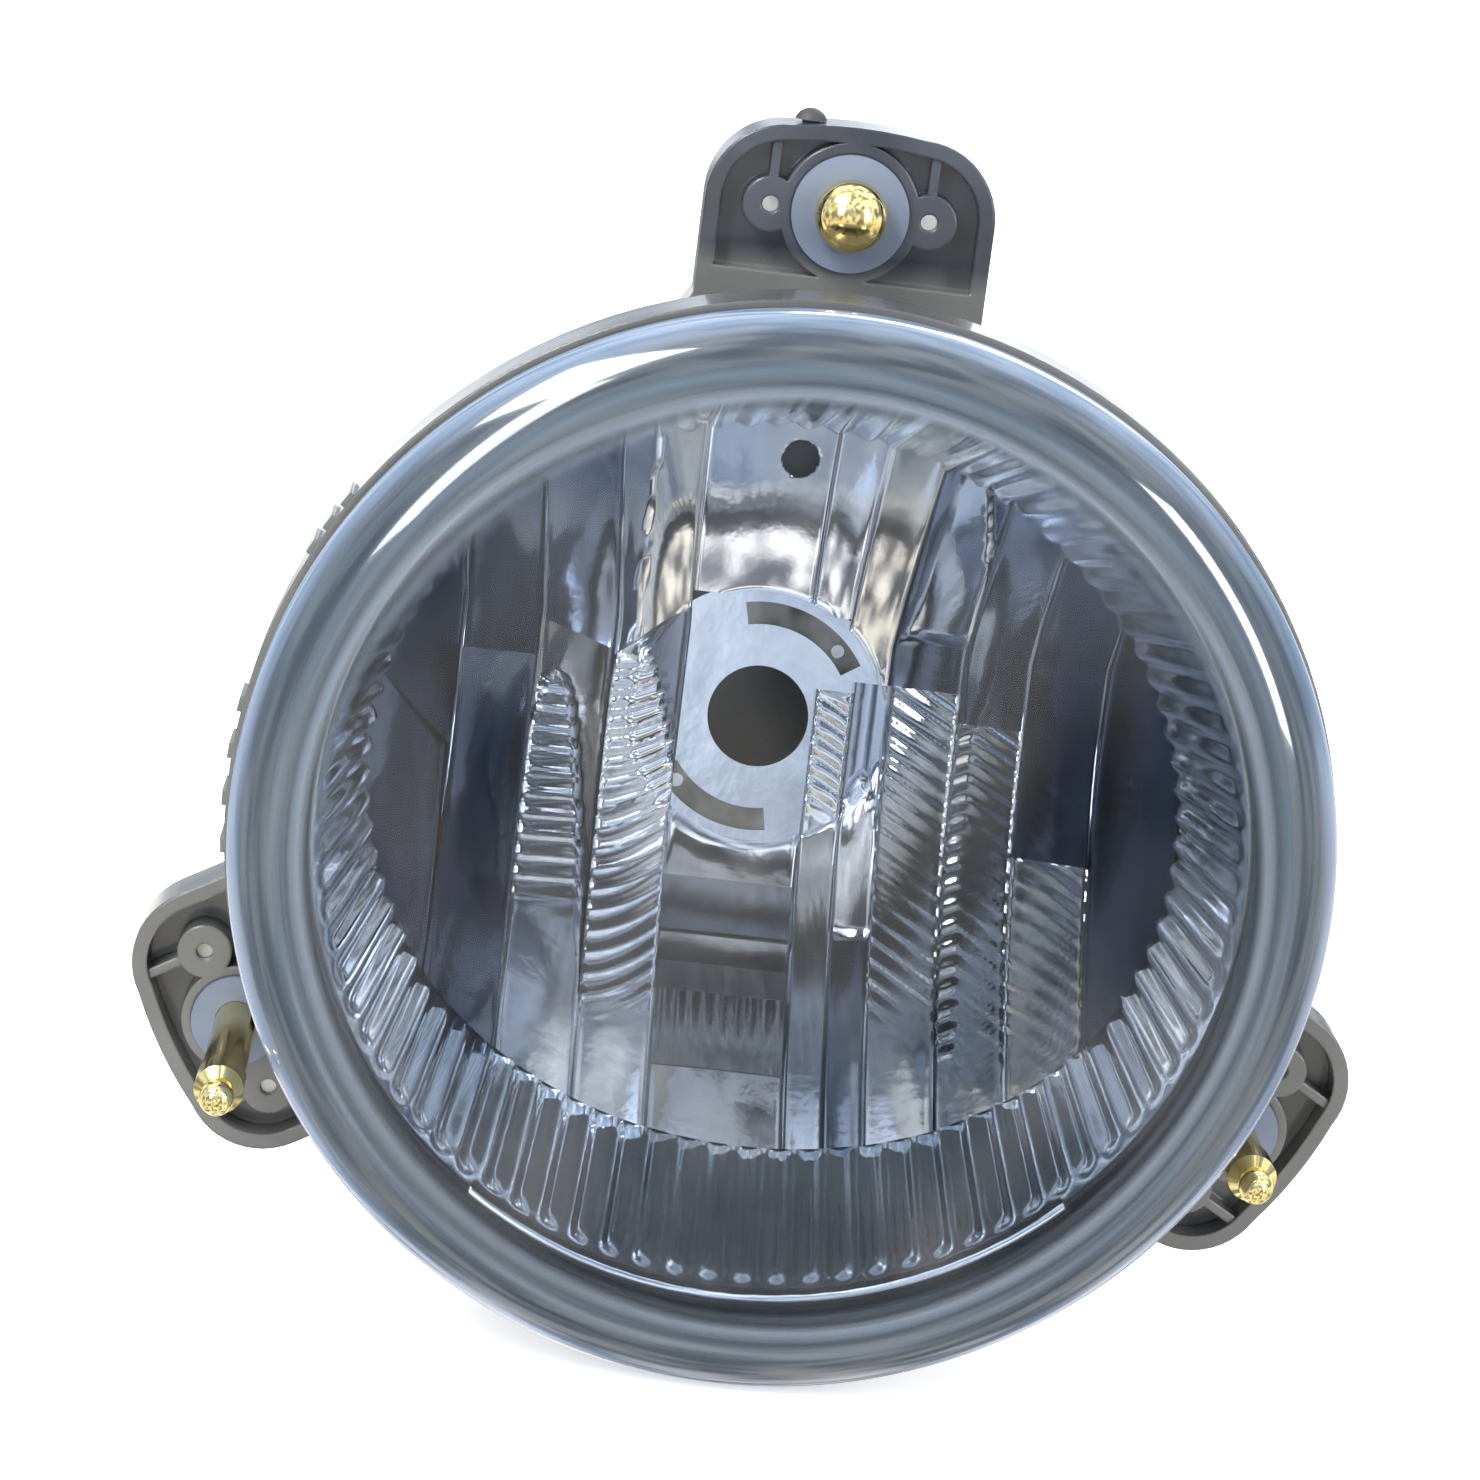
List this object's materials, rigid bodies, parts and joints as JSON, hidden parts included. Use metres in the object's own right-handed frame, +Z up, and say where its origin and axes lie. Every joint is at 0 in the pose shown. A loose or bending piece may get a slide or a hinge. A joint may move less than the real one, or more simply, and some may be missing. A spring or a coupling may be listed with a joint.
{
  "type": "car headlight",
  "caption": "Round sealed-lens car headlight with a faceted reflector, fluted bezel, ball-stud mounting ears, screw aim adjusters and a push-on rear cap.",
  "frame": {"origin": "centre of the lens rim, on the lens axis, halfway along the rim's cylinder", "axes": "-Y out of the lens towards the road, +Z up towards the fixed ball stud's ear, +X to the right seen from the front"},
  "size_m": [0.2098, 0.151, 0.2055],
  "materials": {
    "housing_plastic": "warm grey moulded plastic, satin to glossy",
    "lens_clear": "clear moulded lens with a thick blue-grey edge",
    "sealant": "dark hot-melt sealant",
    "mirror_coat": "vapour-coated bright mirror under clear lacquer",
    "screw_steel": "zinc-plated",
    "plated_steel": "zinc-plated pressed steel",
    "spring_wire": "drawn spring wire",
    "black_rubber": "matt black moulded rubber",
    "black_plastic": "black moulded plastic, fine grain",
    "brass": "turned and polished",
    "nylon": "blue-grey nylon, satin",
    "wheel_nylon": "natural nylon, satin"
  },
  "bodies": {
    "lamp": {"housing": "housing_plastic", "lens": "lens_clear", "lens_seal": "sealant", "reflector": "mirror_coat", "reflector_screws": "screw_steel", "bezel_ring": "mirror_coat", "bulb_seat": "plated_steel", "bulb_seat_screws": "screw_steel", "neck_seal": "black_rubber", "breather_cap": "black_rubber", "stop_buffer": "black_rubber", "top_ball_stud": "brass", "top_bush": "nylon", "top_back_plate": "black_plastic", "top_washer": "plated_steel", "top_lock_nut": "plated_steel", "top_plate_screws": "screw_steel", "left_bush": "nylon", "left_gear_cover": "black_plastic", "left_cover_screws": "screw_steel", "right_bush": "nylon", "right_gear_cover": "black_plastic", "right_cover_screws": "screw_steel"},
    "rear_cap": {"rear_cap": "black_plastic"},
    "bulb_clip": {"bulb_clip": "spring_wire"},
    "left_wheel": {"left_thumbwheel": "wheel_nylon"},
    "right_wheel": {"right_thumbwheel": "wheel_nylon"},
    "left_rod": {"left_adjuster_rod": "brass", "left_stop_clip": "plated_steel"},
    "right_rod": {"right_adjuster_rod": "brass", "right_stop_clip": "plated_steel"}
  },
  "joints": [
    {"name": "left_rod_travel", "type": "slide", "parent": "lamp", "child": "left_rod", "axis": [0, -1, 0], "range_m": [-0.0165, 0.0035]},
    {"name": "left_wheel_turn", "type": "hinge", "parent": "lamp", "child": "left_wheel", "pos_m": [-0.08617, 0.055, -0.04975], "axis": [0, -1, 0], "range_deg": [-3984, 864]},
    {"name": "right_rod_travel", "type": "slide", "parent": "lamp", "child": "right_rod", "axis": [0, -1, 0], "range_m": [-0.0035, 0.0165]},
    {"name": "right_wheel_turn", "type": "hinge", "parent": "lamp", "child": "right_wheel", "pos_m": [0.08617, 0.055, -0.04975], "axis": [0, -1, 0], "range_deg": [-864, 3984]},
    {"name": "clip_swing", "type": "hinge", "parent": "lamp", "child": "bulb_clip", "pos_m": [-0.0017, 0.09127, -0.0155], "axis": [-1, 0, 0], "range_deg": [0, 95]},
    {"name": "cap_pull", "type": "slide", "parent": "lamp", "child": "rear_cap", "axis": [0, 1, 0], "range_m": [0, 0.07]}
  ],
  "couplings": [
    {"joint": "left_wheel_turn", "follows": "left_rod_travel", "rad_per_m": 4188.8},
    {"joint": "right_wheel_turn", "follows": "right_rod_travel", "rad_per_m": 4188.8}
  ]
}
